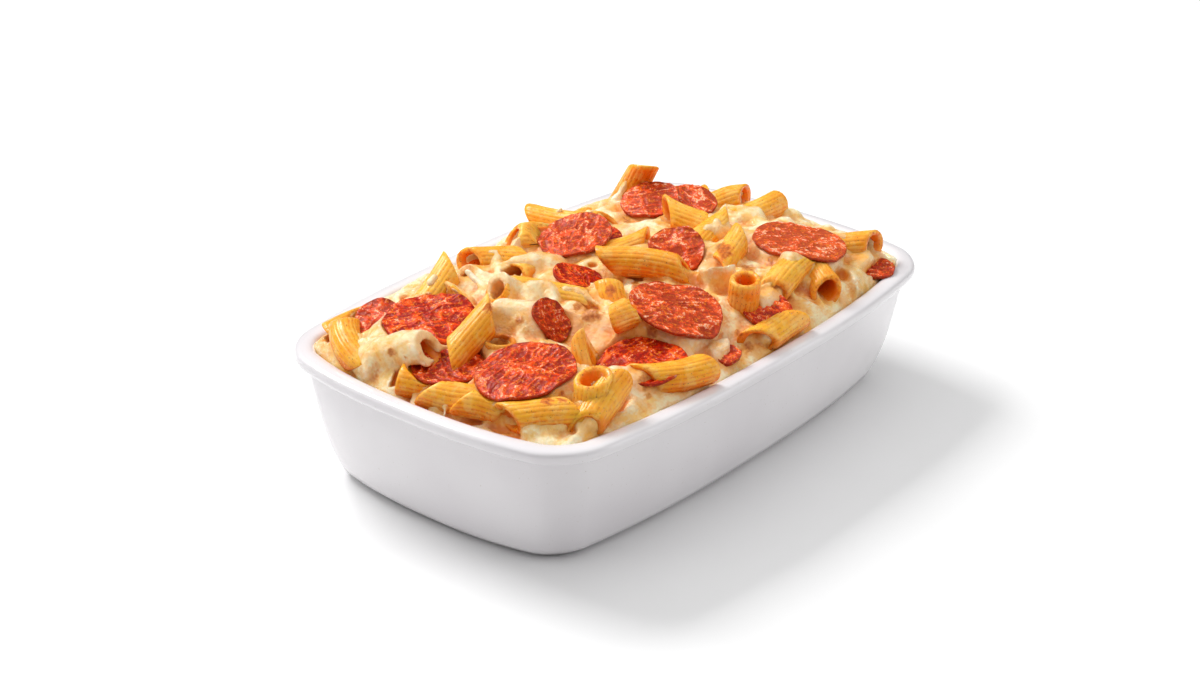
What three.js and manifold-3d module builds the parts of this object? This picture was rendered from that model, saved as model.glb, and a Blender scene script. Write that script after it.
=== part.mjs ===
// Baked penne with pepperoni, filled a little above the rim of a white ceramic baking dish.
// Millimetres, +Z up. The origin is the middle of the dish's flat underside, X runs along the dish.
import * as THREE from 'three';
import Module from 'manifold-3d';
import { mergeVertices } from 'three/addons/utils/BufferGeometryUtils.js';

const wasm = await Module();
wasm.setup();
const { Manifold, Mesh: SolidMesh } = wasm;
const rad = THREE.MathUtils.degToRad;
const lerp = THREE.MathUtils.lerp;

// ---- Driving dimensions ----------------------------------------------------------------------
// An outline is a rounded rectangle whose sides bow outwards: halves to the corners, then the bows.
const RIM = { halfLength: 112, halfWidth: 69, corner: 15, endBow: 9.5, sideBow: 10 };
const BASE = { halfLength: 99.5, halfWidth: 54.5, corner: 11, endBow: 8.8, sideBow: 8.2 };
const BOW_POWER = 2.6; // how evenly a side bows from corner to corner
const DISH_HEIGHT = 52;
const RIM_WIDTH = 7.4; // across the top of the rim, from its outer face to its inner edge
const RIM_OVERHANG = 4; // how far the rim stands out from the wall under it
const RIM_FACE = 5.6; // height of the rim's outer face
const RIM_ROUND = 1.8; // rounding of the rim's edges
const FLOOR_THICKNESS = 5;
const FOOT_ROUND = 4; // rounding where the wall turns under
const FIT_GAP = 0.3; // clearance between solids that touch
const SIMPLIFY = 0.1; // facets of the heap closer to flat than this are merged

// The heap's surface: how far it lies under the rim's top at the wall, and how it rises inwards.
const HEAP = { halfLength: 116, halfWidth: 72.5, edge: -2.6, rise: 14.5, power: 2.6, fullness: 0.6 };

// Cooked penne: a tube cut at both ends on the same slant.
const PENNE = { radius: 6.1, wall: 2.4, slant: 40, sides: 8, hollow: 8 };

// A baked pepperoni slice.
const SLICE = { thickness: 1.7, segments: 16, curl: 0.6, ripple: 0.5, lobes: 3 };

// ---- Where the pieces lie --------------------------------------------------------------------
// Penne by the end that shows: its place (x, y, height above the rim's top), the way the tube runs
// from there into the heap (heading and rise, degrees), the turn of its slanted cut, its length and,
// where it isn't the usual one, the slant.
const PENNE_PLACES = [
  // along the near end of the dish
  [-92.6, 54.6, 8, -120, -15, 90, 32],
  [-100.4, 57.3, 1, -6, 0, 300, 30],
  [-97, 7.6, 11.2, 110, -24, 60, 28, 15],
  [-108.3, 12.4, 2.3, -53, -8, 0, 20, 12],
  [-108.7, -0.7, 2, -64, -4, 40, 22],
  [-106.5, -15.3, 2.4, -62, -10, 40, 22],
  [-107, -34.2, 1, -50, 5, 200, 28],
  [-70.7, -0.6, 20.5, 172, -32, 335, 28],
  [-81.5, -54.8, 16.2, 190, -80, 90, 26, 27],
  [-72.6, -58.4, 10.3, -172, -25, 225, 26],
  // along the near side
  [-33.9, -68.9, 5, 154, 0, 180, 30],
  [-58, -31.4, 13.9, -129, -52, 270, 26],
  [-46.4, -32, 15.6, -12, -3, 330, 32, 42],
  [21.3, -66.4, 3.8, -176, 0, 160, 27],
  [8, -54, 21, 39, -83, 0, 30, 0],
  [13.5, -36.5, 19.6, 12, -80, 55, 30, 35],
  [52, -49, 12, -167, -4, 180, 34],
  [46.2, -66.2, 5, 59, 9, 90, 30, 28],
  [65, -61, 0.5, 12, -2, 0, 26],
  [94.8, -58.3, 7.9, 133, -7, 0, 22],
  // across the middle
  [-76.4, -6.8, 12.3, 39, -85, 90, 22, 5],
  [-64.6, 6.9, 13, -63, -4, 0, 28],
  [-54.5, 14.5, 18.3, -10, -40, 0, 24, 10],
  [-46.2, 12.4, 15, -60, -6, 270, 33],
  [-20.5, -10.2, 16, -117, -40, 0, 22, 15],
  [-9.8, 1.3, 18, -60, -6, 265, 37],
  [27.1, 4.6, 14, 158, -5, 0, 27],
  [59.3, -10.6, 17, 180, -10, 0, 27],
  [50.4, -22.9, 17, -169, -14, 0, 27],
  // along the far side
  [-60, 40, 14, -105, -18, 90, 26],
  [-43.1, 45.6, 16.5, -170, -22, 0, 38],
  [-40.2, 41.6, 8.5, 25, -25, 0, 24, 20],
  [-34.9, 48.8, 11.9, -38, -4, 160, 24],
  [-31, 28, 11.5, -10, -5, 120, 30, 15],
  [-12, 48, 14, -38, 2, 90, 36],
  [22, 63, 9.5, -79, 8, 270, 38],
  [65.2, 38.1, 28.2, 106, -62, 130, 34],
  [46.6, 15.8, 18, -72, -12, 197, 24],
  // along the far end
  [95.6, 6.4, 12, 150, -11, 0, 26],
  [103, -3, 8.5, 170, -6, 180, 28, 15],
];
// Penne on the side of the heap away from the ones above lie at random, low and half sunk.
const FAR_PENNE = { seed: 5, count: 9, apart: 13, lift: -5.5, length: [32, 40], tilt: 12 };
const FAR_ZONES = [ // where they may start: x from, x to, y from, y to
  [5, 66, 48, 60],
  [78, 104, 14, 56],
];

// Pepperoni by its middle (x, y, height above the rim's top), the way it leans, how far, and across.
const SLICE_PLACES = [
  [-77.6, 25.4, 11, 175, 8, 35.5],
  [-83.3, 46.7, 6.5, 215, 20, 20],
  [5, 26.2, 17.5, 183, 10, 30.5],
  [13.1, 22.4, 14.5, 235, 12, 22],
  [-22.2, 1.9, 16, 297, 14, 20],
  [-94.5, 1.9, 5.5, 200, 6, 27],
  [-87.5, -29.2, 11, 201, 5, 36.5],
  [-56.2, -13.2, 14, -70, 50, 18],
  [-19.4, -42.9, 15, 287, 11, 36],
  [-50.4, -51.7, 7.5, 222, 5, 33],
  [12.5, -60.5, 9, 250, 10, 20],
  [63.8, -40.1, 14, 311, 9, 38.5],
  [86.5, -61, 1.1, 235, 0, 17],
  [54.7, 27.8, 17, 211, 15, 24],
  [66.9, 15.6, 16, 205, 16, 20.5],
  [22, -11, 17, 215, 22, 22],
  [-19, -65.8, 3.6, 225, 4, 11],
];

// ---- Colours ---------------------------------------------------------------------------------
const glaze = new THREE.MeshStandardMaterial({ color: 0xf1f0ee, roughness: 0.15, metalness: 0 });
const pasta = new THREE.MeshStandardMaterial({ color: 0xe9b04e, roughness: 0.45, metalness: 0 });
const salami = new THREE.MeshStandardMaterial({ color: 0xb23a22, roughness: 0.4, metalness: 0 });

// ---- Geometry helpers ------------------------------------------------------------------------
// A small repeatable random number generator.
function random(seed) {
  let state = seed;
  return () => {
    state = (state * 1664525 + 1013904223) % 4294967296;
    return state / 4294967296;
  };
}

// The outline's points, anticlockwise. Outlines of the same steps have matching points, for lofting.
const FINE = { cornerSteps: 5, sideSteps: 9, endSteps: 5 };
const COARSE = { cornerSteps: 2, sideSteps: 6, endSteps: 3 };
function outline({ halfLength, halfWidth, corner, endBow, sideBow }, steps) {
  const points = [];
  const corners = [[1, 1, 0], [-1, 1, 90], [-1, -1, 180], [1, -1, 270]];
  corners.forEach(([sx, sy, from], k) => {
    const cx = sx * (halfLength - corner);
    const cy = sy * (halfWidth - corner);
    for (let i = 0; i <= steps.cornerSteps; i++) {
      const angle = rad(from + (90 * i) / steps.cornerSteps);
      points.push([cx + corner * Math.cos(angle), cy + corner * Math.sin(angle)]);
    }
    const last = points[points.length - 1];
    const along = k % 2 === 0 ? steps.sideSteps : steps.endSteps;
    const next = k % 2 === 0
      ? [-sx * (halfLength - corner), last[1]]
      : [last[0], -sy * (halfWidth - corner)];
    for (let i = 1; i < along; i++) {
      points.push([lerp(last[0], next[0], i / along), lerp(last[1], next[1], i / along)]);
    }
  });
  return points.map(([x, y]) => [
    x + (x / halfLength) * endBow * (1 - Math.abs(y / halfWidth) ** BOW_POWER),
    y + (y / halfWidth) * sideBow * (1 - Math.abs(x / halfLength) ** BOW_POWER),
  ]);
}

// An outline between two others, and one drawn in all round.
function between(a, b, t) {
  return Object.fromEntries(Object.keys(a).map((key) => [key, lerp(a[key], b[key], t)]));
}
function inset(shape, by) {
  return {
    ...shape,
    halfLength: shape.halfLength - by,
    halfWidth: shape.halfWidth - by,
    corner: Math.max(shape.corner - by, 2),
  };
}

// A closed skin over rings of matching points, with a fan at each end round its middle point.
function loft(rings, firstMiddle, lastMiddle) {
  const count = rings[0].length;
  const position = [...rings.flat().flat(), ...firstMiddle, ...lastMiddle];
  const first = rings.length * count;
  const index = [];
  for (let i = 0; i < count; i++) {
    const j = (i + 1) % count;
    index.push(first, j, i);
    for (let k = 0; k + 1 < rings.length; k++) {
      const a = k * count;
      const b = a + count;
      index.push(a + i, a + j, b + j, a + i, b + j, b + i);
    }
    const top = (rings.length - 1) * count;
    index.push(first + 1, top + i, top + j);
  }
  const geometry = new THREE.BufferGeometry();
  geometry.setAttribute('position', new THREE.Float32BufferAttribute(position, 3));
  geometry.setIndex(index);
  return geometry;
}

const ring = (shape, z, steps = FINE) => outline(shape, steps).map(([x, y]) => [x, y, z]);

// To and from manifold solids.
function solid(geometry) {
  const bare = geometry.clone();
  bare.deleteAttribute('normal');
  bare.deleteAttribute('uv');
  const merged = mergeVertices(bare, 1e-4);
  return new Manifold(new SolidMesh({
    numProp: 3,
    vertProperties: new Float32Array(merged.attributes.position.array),
    triVerts: new Uint32Array(merged.index.array),
  }));
}
function geometryOf(manifold) {
  const { vertProperties, triVerts } = manifold.getMesh();
  const geometry = new THREE.BufferGeometry();
  geometry.setAttribute('position', new THREE.BufferAttribute(new Float32Array(vertProperties), 3));
  geometry.setIndex(new THREE.BufferAttribute(new Uint32Array(triVerts), 1));
  geometry.computeVertexNormals();
  return geometry;
}
const largest = (manifold) => manifold.decompose().sort((a, b) => b.volume() - a.volume())[0];

// ---- Dish ------------------------------------------------------------------------------------
const WALL_TOP = DISH_HEIGHT - RIM_FACE - 1.5; // where the wall meets the rim's underside
const WALL_STEPS = 6;
const INSIDE_STEPS = 3;

// The wall's outline at a height: it leans in slowly, and faster near the foot.
function wallShape(z) {
  const down = THREE.MathUtils.clamp((WALL_TOP - z) / WALL_TOP, 0, 1);
  return between(inset(RIM, RIM_OVERHANG), BASE, 0.6 * down + 0.4 * down ** 4);
}
const WALL_THICKNESS = RIM_WIDTH - RIM_OVERHANG;
const insideShape = (z, gap = 0) => inset(wallShape(z), WALL_THICKNESS + gap);

// The dish's rings run from the underside up the outside, over the rim and down the inside.
// grow fattens it all round, for cutting what must stay clear of it.
function dishGeometry(grow = 0) {
  const rings = [
    ring(inset(wallShape(0), FOOT_ROUND - grow), -grow),
    ring(inset(wallShape(0), FOOT_ROUND * 0.25 - grow), FOOT_ROUND * 0.25 - grow),
  ];
  for (let i = 1; i <= WALL_STEPS; i++) {
    const z = lerp(FOOT_ROUND, WALL_TOP, (i - 1) / (WALL_STEPS - 1));
    rings.push(ring(inset(wallShape(z), -grow), z));
  }
  const faceBottom = DISH_HEIGHT - RIM_FACE;
  rings.push(
    ring(inset(RIM, RIM_OVERHANG * 0.5 - grow), faceBottom - grow),
    ring(inset(RIM, RIM_OVERHANG * 0.12 - grow), faceBottom + RIM_FACE * 0.27),
    ring(inset(RIM, -grow), DISH_HEIGHT - RIM_ROUND * 1.3),
    ring(inset(RIM, RIM_ROUND * 0.4 - grow), DISH_HEIGHT - RIM_ROUND * 0.5 + grow),
    ring(inset(RIM, RIM_ROUND * 1.4), DISH_HEIGHT + grow),
    ring(inset(RIM, RIM_WIDTH - RIM_ROUND), DISH_HEIGHT + grow),
    ring(inset(RIM, RIM_WIDTH - RIM_ROUND * 0.3 + grow), DISH_HEIGHT - RIM_ROUND * 0.4 + grow),
  );
  for (let i = 0; i <= INSIDE_STEPS; i++) {
    const z = lerp(DISH_HEIGHT - RIM_ROUND - 1, FLOOR_THICKNESS + FOOT_ROUND, i / INSIDE_STEPS);
    rings.push(ring(insideShape(z, grow), z));
  }
  const floor = FLOOR_THICKNESS + grow;
  rings.push(ring(insideShape(floor, FOOT_ROUND + grow), floor));
  return loft(rings, [0, 0, -grow], [0, 0, floor]);
}

// ---- Heap ------------------------------------------------------------------------------------
function heapHeight(x, y) {
  const along = Math.max(0, 1 - Math.abs(x / HEAP.halfLength) ** HEAP.power);
  const across = Math.max(0, 1 - Math.abs(y / HEAP.halfWidth) ** HEAP.power);
  return DISH_HEIGHT + HEAP.edge + HEAP.rise * (along * across) ** HEAP.fullness;
}

// The bare core: it fills the dish, and its top is a mound with low swells.
const CORE_RINGS = [0.92, 0.78, 0.58, 0.32];
function coreGeometry() {
  const floor = FLOOR_THICKNESS + FIT_GAP;
  const rings = [ring(insideShape(floor, FOOT_ROUND + 1), floor, COARSE)];
  for (let i = 0; i <= INSIDE_STEPS; i++) {
    const z = lerp(FLOOR_THICKNESS + FOOT_ROUND, DISH_HEIGHT + HEAP.edge, i / INSIDE_STEPS);
    rings.push(ring(insideShape(z, FIT_GAP), z, COARSE));
  }
  const edge = rings[rings.length - 1];
  for (const share of CORE_RINGS) {
    rings.push(edge.map(([x, y]) => {
      const [px, py] = [x * share, y * share];
      const swell = 0.8 * Math.sin(px / 9 + 1) * Math.cos(py / 8);
      return [px, py, heapHeight(px, py) + swell];
    }));
  }
  return loft(rings, [0, 0, floor], [0, 0, heapHeight(0, 0)]);
}

// A tube along +X from the end that shows, at the origin, with both ends cut on the slant. The end
// that shows is hollow as far in as can be seen.
function penneSolid([x, y, z, heading, rise, turn, length, slant = PENNE.slant]) {
  const { radius, wall, sides, hollow } = PENNE;
  const loop = (r, end) => Array.from({ length: sides }, (_, i) => {
    const angle = (2 * Math.PI * i) / sides;
    const lean = r * Math.cos(angle - rad(turn)) * Math.tan(rad(slant));
    return [end + lean, r * Math.cos(angle), r * Math.sin(angle)];
  });
  const near = radius * Math.tan(rad(slant)) * 0.5;
  const far = length - near;
  const geometry = loft(
    [
      loop(radius - wall, near + hollow),
      loop(radius - wall, near),
      loop(radius, near),
      loop(radius, far),
    ],
    [near + hollow, 0, 0],
    [far, 0, 0],
  );
  geometry.applyMatrix4(new THREE.Matrix4().makeRotationY(-rad(rise)));
  geometry.applyMatrix4(new THREE.Matrix4().makeRotationZ(rad(heading)));
  geometry.translate(x, y, DISH_HEIGHT + z);
  return solid(geometry);
}

// Whether a place lies inside the rim, clear of it by so much.
function insideRim([x, y], clear) {
  const { halfLength, halfWidth, endBow, sideBow } = inset(RIM, RIM_WIDTH + clear);
  const end = halfLength + endBow * (1 - Math.min(1, Math.abs(y / halfWidth)) ** BOW_POWER);
  const side = halfWidth + sideBow * (1 - Math.min(1, Math.abs(x / halfLength)) ** BOW_POWER);
  return Math.abs(x) < end && Math.abs(y) < side;
}

// Low penne on the far parts of the heap: random starts that keep their distance from each other.
function farPennePlaces() {
  const draw = random(FAR_PENNE.seed);
  const along = (x, y, heading, by) => [x + Math.cos(rad(heading)) * by, y + Math.sin(rad(heading)) * by];
  const places = [];
  for (let tries = 0; places.length < FAR_PENNE.count && tries < 900; tries++) {
    const [x0, x1, y0, y1] = FAR_ZONES[tries % FAR_ZONES.length];
    const x = lerp(x0, x1, draw());
    const y = lerp(y0, y1, draw());
    const heading = 360 * draw();
    const length = lerp(...FAR_PENNE.length, draw());
    const middle = along(x, y, heading, length / 2);
    const far = along(x, y, heading, length);
    const free = [...PENNE_PLACES, ...places].every(([px, py, , otherHeading, , , otherLength]) => {
      const [mx, my] = along(px, py, otherHeading, otherLength / 2);
      return Math.hypot(middle[0] - mx, middle[1] - my) > FAR_PENNE.apart;
    });
    if (!free || !insideRim([x, y], PENNE.radius) || !insideRim(far, PENNE.radius)) continue;
    const rise = FAR_PENNE.tilt * (draw() - 0.5);
    const level = heapHeight(...middle) - DISH_HEIGHT + FAR_PENNE.lift;
    places.push([x, y, level - Math.sin(rad(rise)) * length / 2, heading, rise, 360 * draw(), length]);
  }
  return places;
}

// ---- Pepperoni -------------------------------------------------------------------------------
// A thin round slice, dished and rippled, with a flat underside.
function sliceSolid(place, k) {
  const { thickness, segments, ripple, lobes, curl } = SLICE;
  const edge = (level) => Array.from({ length: segments }, (_, i) => {
    const angle = (2 * Math.PI * i) / segments;
    const r = (place[5] / 2) * (1 + 0.02 * Math.sin(2 * angle + 2 * k));
    return [r * Math.cos(angle), r * Math.sin(angle), level(angle)];
  });
  const top = thickness / 2;
  const under = edge(() => -top);
  const over = edge((angle) => top + curl + ripple * Math.sin(lobes * angle + k));
  return laid(loft([under, over], [0, 0, -top], [0, 0, top]), place);
}

// The space that a slice needs.
function sliceRoom(place) {
  const { thickness, segments, ripple, curl } = SLICE;
  const sides = segments - 4;
  const radius = ((place[5] / 2) * 1.02 + FIT_GAP) / Math.cos(Math.PI / sides);
  const height = thickness + curl + ripple + 2 * FIT_GAP;
  const room = new THREE.CylinderGeometry(radius, radius, height, sides);
  room.rotateX(Math.PI / 2);
  room.translate(0, 0, (curl + ripple) / 2);
  return laid(room, place);
}

// Tilts a slice the way it leans and puts it in its place.
function laid(geometry, [x, y, z, towards, lean]) {
  const axis = new THREE.Vector3(-Math.sin(rad(towards)), Math.cos(rad(towards)), 0);
  geometry.applyMatrix4(new THREE.Matrix4().makeRotationAxis(axis, rad(lean)));
  geometry.translate(x, y, DISH_HEIGHT + z);
  return solid(geometry);
}

// ---- The part --------------------------------------------------------------------------------
const part = new THREE.Group();
function add(name, geometry, material) {
  const mesh = new THREE.Mesh(geometry, material);
  mesh.name = name;
  part.add(mesh);
}

add('dish', dishGeometry(), glaze);

// Where slices meet, the one placed later has the shape of what is left.
const slices = [];
SLICE_PLACES.forEach((place, k) => {
  const cut = slices.reduce((slice, { room }) => slice.subtract(room), sliceSolid(place, k));
  slices.push({ slice: largest(cut), room: sliceRoom(place) });
});
slices.forEach(({ slice }, k) => {
  const name = `pepperoni_${String(k + 1).padStart(2, '0')}`;
  add(name, geometryOf(slice), salami);
});

const penne = Manifold.union([...PENNE_PLACES, ...farPennePlaces()].map(penneSolid));
const rooms = Manifold.union(slices.map(({ room }) => room));
const heap = solid(coreGeometry())
  .add(penne.subtract(solid(dishGeometry(FIT_GAP))))
  .subtract(rooms);
add('pasta_heap', geometryOf(largest(largest(heap).simplify(SIMPLIFY))), pasta);

export default part;
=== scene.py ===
import itertools
import math
from functools import reduce

import bpy
import numpy as np
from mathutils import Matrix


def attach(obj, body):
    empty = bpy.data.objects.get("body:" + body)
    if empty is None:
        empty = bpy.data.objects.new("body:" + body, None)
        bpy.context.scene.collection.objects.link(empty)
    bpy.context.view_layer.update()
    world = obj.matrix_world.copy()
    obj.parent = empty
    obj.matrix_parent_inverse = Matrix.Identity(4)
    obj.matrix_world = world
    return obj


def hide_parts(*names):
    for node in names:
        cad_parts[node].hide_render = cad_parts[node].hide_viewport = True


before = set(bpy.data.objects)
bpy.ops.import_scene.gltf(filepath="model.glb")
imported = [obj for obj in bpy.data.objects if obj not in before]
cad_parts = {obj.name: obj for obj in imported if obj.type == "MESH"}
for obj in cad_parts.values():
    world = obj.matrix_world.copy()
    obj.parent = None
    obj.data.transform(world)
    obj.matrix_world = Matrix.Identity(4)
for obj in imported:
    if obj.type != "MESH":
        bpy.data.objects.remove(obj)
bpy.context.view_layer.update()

import openvdb
from mathutils import Matrix, Vector

MM = 0.001

# ---- The part's own sizes and places ------------------------------------------------------------
# An outline is a rounded rectangle whose sides bow outwards: halves to the corners, then the bows.
RIM = {"half_length": 112.0, "half_width": 69.0, "corner": 15.0, "end_bow": 9.5, "side_bow": 10.0}
BASE = {"half_length": 99.5, "half_width": 54.5, "corner": 11.0, "end_bow": 8.8, "side_bow": 8.2}
BOW_POWER = 2.6
DISH_HEIGHT = 52.0
RIM_WIDTH = 7.4
RIM_OVERHANG = 4.0
RIM_FACE = 5.6
FLOOR_THICKNESS = 5.0
FOOT_ROUND = 4.0
WALL_TOP = DISH_HEIGHT - RIM_FACE - 1.5
WALL_THICKNESS = RIM_WIDTH - RIM_OVERHANG
FIT_GAP = 0.3
HEAP = {"half_length": 116.0, "half_width": 72.5, "edge": -2.6, "rise": 14.5, "power": 2.6, "fullness": 0.6}
PENNE = {"radius": 6.1, "wall": 2.4, "slant": 40.0, "bow": 1.5, "ridges": 0.2, "wobble": 0.4, "pinched": 4.5}

# Penne by the end that shows: x, y, height above the rim, heading, rise, turn of the cut, length
# and, where it isn't the usual one, the slant. Then how they look: the share under cheese, with the
# hole closed too from SEALED on, how far the tube bows sideways, and how pale it is. The far penne
# share one look.
PENNE_PLACES = [
    # along the near end of the dish
    ((-92.6, 54.6, 8, -120, -15, 90, 32), (0.25, 2.5, 0.1)),
    ((-100.4, 57.3, 1, -6, 0, 300, 30), (0.2, 0.8, 0.3)),
    ((-97, 7.6, 11.2, 110, -24, 60, 28, 15), (1.2, -1.6, 0.8)),
    ((-108.3, 12.4, 2.3, -53, -8, 0, 20, 12), (0.0, 0.5, 0.0)),
    ((-108.7, -0.7, 2, -64, -4, 40, 22), (0.05, -0.8, 0.2)),
    ((-106.5, -15.3, 2.4, -62, -10, 40, 22), (0.1, 0.9, 0.1)),
    ((-107, -34.2, 1, -50, 5, 200, 28), (0.0, 0.8, 0.1)),
    ((-70.7, -0.6, 20.5, 172, -32, 335, 28), (0.1, 0.8, 0.1)),
    ((-81.5, -54.8, 16.2, 190, -80, 90, 26, 27), (0.0, 0.5, 0.4)),
    ((-72.6, -58.4, 10.3, -172, -25, 225, 26), (0.0, -1.0, 0.1)),
    # along the near side
    ((-33.9, -68.9, 5, 154, 0, 180, 30), (0.2, 1.0, 0.0)),
    ((-58, -31.4, 13.9, -129, -52, 270, 26), (0.05, 0.5, 0.4)),
    ((-46.4, -32, 15.6, -12, -3, 330, 32, 42), (0.3, 0.9, 0.2)),
    ((21.3, -66.4, 3.8, -176, 0, 160, 27), (0.15, 0.9, 0.2)),
    ((8, -54, 21, 39, -83, 0, 30, 0), (0.0, 0.3, 0.2)),
    ((13.5, -36.5, 19.6, 12, -80, 55, 30, 35), (1.3, 0.8, 0.6)),
    ((52, -49, 12, -167, -4, 180, 34), (0.4, 0.6, 0.5)),
    ((46.2, -66.2, 5, 59, 9, 90, 30, 28), (0.2, -0.6, 0.2)),
    ((65, -61, 0.5, 12, -2, 0, 26), (1.3, 0.4, 0.9)),
    ((94.8, -58.3, 7.9, 133, -7, 0, 22), (0.1, 0.5, 0.1)),
    # across the middle
    ((-76.4, -6.8, 12.3, 39, -85, 90, 22, 5), (0.45, 0.5, 0.6)),
    ((-64.6, 6.9, 13, -63, -4, 0, 28), (0.9, 0.6, 0.8)),
    ((-54.5, 14.5, 18.3, -10, -40, 0, 24, 10), (0.3, 0.5, 0.4)),
    ((-46.2, 12.4, 15, -60, -6, 270, 33), (0.3, 1.2, 0.4)),
    ((-20.5, -10.2, 16, -117, -40, 0, 22, 15), (0.3, 1.0, 0.2)),
    ((-9.8, 1.3, 18, -60, -6, 265, 37), (0.25, 1.6, 0.1)),
    ((27.1, 4.6, 14, 158, -5, 0, 27), (0.1, -0.9, 0.1)),
    ((59.3, -10.6, 17, 180, -10, 0, 27), (0.45, 1.2, 0.2)),
    ((50.4, -22.9, 17, -169, -14, 0, 27), (0.35, 1.0, 0.4)),
    # along the far side
    ((-60, 40, 14, -105, -18, 90, 26), (0.0, 0.4, 0.4)),
    ((-43.1, 45.6, 16.5, -170, -22, 0, 38), (0.1, 1.0, 0.2)),
    ((-40.2, 41.6, 8.5, 25, -25, 0, 24, 20), (0.95, 0.6, 0.8)),
    ((-34.9, 48.8, 11.9, -38, -4, 160, 24), (0.1, 1.0, 0.1)),
    ((-31, 28, 11.5, -10, -5, 120, 30, 15), (0.5, 0.6, 0.5)),
    ((-12, 48, 14, -38, 2, 90, 36), (0.4, 0.7, 0.5)),
    ((22, 63, 9.5, -79, 8, 270, 38), (0.0, 1.4, 0.2)),
    ((65.2, 38.1, 28.2, 106, -62, 130, 34), (0.0, 0.8, 0.1)),
    ((46.6, 15.8, 18, -72, -12, 197, 24), (0.1, 0.6, 0.4)),
    # along the far end
    ((95.6, 6.4, 12, 150, -11, 0, 26), (0.1, 0.6, 0.0)),
    ((103, -3, 8.5, 170, -6, 180, 28, 15), (0.1, -0.7, 0.1)),
]
SEALED = 1.3
FAR_PENNE = {"seed": 5, "count": 9, "apart": 13.0, "lift": -5.5, "length": (32.0, 40.0), "tilt": 12.0}
FAR_ZONES = [(5.0, 66.0, 48.0, 60.0), (78.0, 104.0, 14.0, 56.0)]
FAR_LOOK = (0.35, 0.6, 0.3)

# Pepperoni: x, y, height above the rim, the way it leans, how far, and across. Then how pale it is,
# how much it ripples, which way it bends and how far, and for one half under the cheese, which way
# its covered part lies and how far off its middle that starts.
SLICE_PLACES = [
    ((-77.6, 25.4, 11, 175, 8, 35.5), (0.0, 1.0, (285, -3.5), None)),
    ((-83.3, 46.7, 6.5, 215, 20, 20), (0.35, 0.8, (120, -1.0), None)),
    ((5, 26.2, 17.5, 183, 10, 30.5), (0.4, 0.9, (129, -2.0), None)),
    ((13.1, 22.4, 14.5, 235, 12, 22), (0.0, 0.8, (300, -1.5), None)),
    ((-22.2, 1.9, 16, 297, 14, 20), (0.0, 0.6, (40, -1.0), None)),
    ((-94.5, 1.9, 5.5, 200, 6, 27), (0.2, 0.7, (90, 2.0), None)),
    ((-87.5, -29.2, 11, 201, 5, 36.5), (0.15, 1.0, (150, -2.8), None)),
    ((-56.2, -13.2, 14, -70, 50, 18), (0.3, 0.9, (30, 1.5), None)),
    ((-19.4, -42.9, 15, 287, 11, 36), (0.5, 1.1, (250, -1.8), None)),
    ((-50.4, -51.7, 7.5, 222, 5, 33), (0.0, 0.9, (129, -1.5), (219, 7.0))),
    ((12.5, -60.5, 9, 250, 10, 20), (0.1, 0.7, (219, -1.0), (-20, -2.0))),
    ((63.8, -40.1, 14, 311, 9, 38.5), (0.9, 1.0, (120, -2.2), None)),
    ((86.5, -61, 1.1, 235, 0, 17), (0.4, 0.6, (219, -1.0), (100, 1.0))),
    ((54.7, 27.8, 17, 211, 15, 24), (0.5, 0.9, (129, -1.8), None)),
    ((66.9, 15.6, 16, 205, 16, 20.5), (0.6, 0.9, (-50, -1.8), None)),
    ((22, -11, 17, 215, 22, 22), (0.6, 1.2, (219, -4.5), None)),
    ((-19, -65.8, 3.6, 225, 4, 11), (0.3, 0.5, (219, -1.0), (129, -1.5))),
]
SLICE_THICKNESS = 1.3

# Penne that lie over a slice although their middle is lower than it: the two numbers.
LIES_OVER = [(10, 9), (13, 10)]

# Browned spots, which face the front: x, y, height above the rim, and how far across.
TOASTED = [
    (-108.7, 15.5, 12, 3.3), (-9.8, -64.3, 8, 3.3), (-67.3, -68.1, 6, 2.2), (27.9, -40.7, 15, 3.5),
    (-41.7, -14.5, 15, 4.2), (-41.8, -19.8, 15, 4.2), (-90.2, -47.9, 9, 2.6), (-92.1, -49.6, 8, 2.6),
    (-11.3, -70.4, 5, 4.5), (-116.0, 8.0, 17, 6.0), (-72.5, 1.4, 21, 3.4), (-64.6, -6.3, 15, 3.6),
    (-77.4, -10.1, 14, 4.4), (-10.9, -1.5, 20, 3.2), (-10.7, -16.9, 14, 4.0), (-44.7, -23.1, 17, 7.5),
    (-42.4, -49.4, 15, 5.0), (-27.5, -18.0, 18, 4.0), (33.6, 22.5, 17, 4.0), (26.0, -43.0, 17, 5.5),
    (36.5, -45.9, 16, 3.6), (62.6, -13.7, 18, 4.6), (26.6, -30.7, 20, 7.0), (48.9, -72.7, 12, 4.6),
    (-18.4, -69.9, 13, 4.8), (-77.1, -73.7, 12, 4.2), (-98.6, -48.0, 10, 3.6), (-18.0, -78.6, 10, 5.0),
    (-66.1, -66.4, 10, 5.0),
]
FRONT = np.array([-0.70, -0.57, 0.43])

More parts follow.
